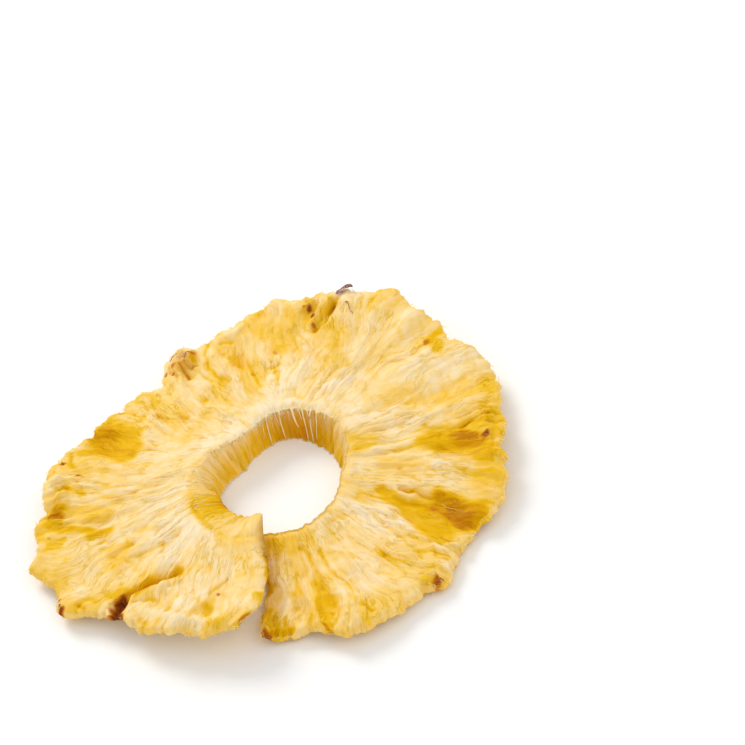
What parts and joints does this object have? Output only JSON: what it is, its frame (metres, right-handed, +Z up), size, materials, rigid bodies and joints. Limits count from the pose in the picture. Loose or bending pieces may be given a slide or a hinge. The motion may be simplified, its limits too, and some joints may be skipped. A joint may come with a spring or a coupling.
{
  "type": "dried pineapple ring",
  "caption": "Flat ring of dried pineapple with a round core hole, radial fibres, a ragged wavy edge and one cut from the hole to the edge whose flanks lap.",
  "frame": {"origin": "on the resting plane, under the middle of the ring's whole outline", "axes": "+X along the ring's longest width, +Y across it away from the cut, +Z up out of the shown face"},
  "size_m": [0.0979, 0.0918, 0.01],
  "materials": {
    "flesh": "satin, pale yellow dried flesh with golden hollows and fine whitish radial fibres"
  },
  "bodies": {
    "root": {"pineapple_ring": "flesh"}
  },
  "joints": []
}
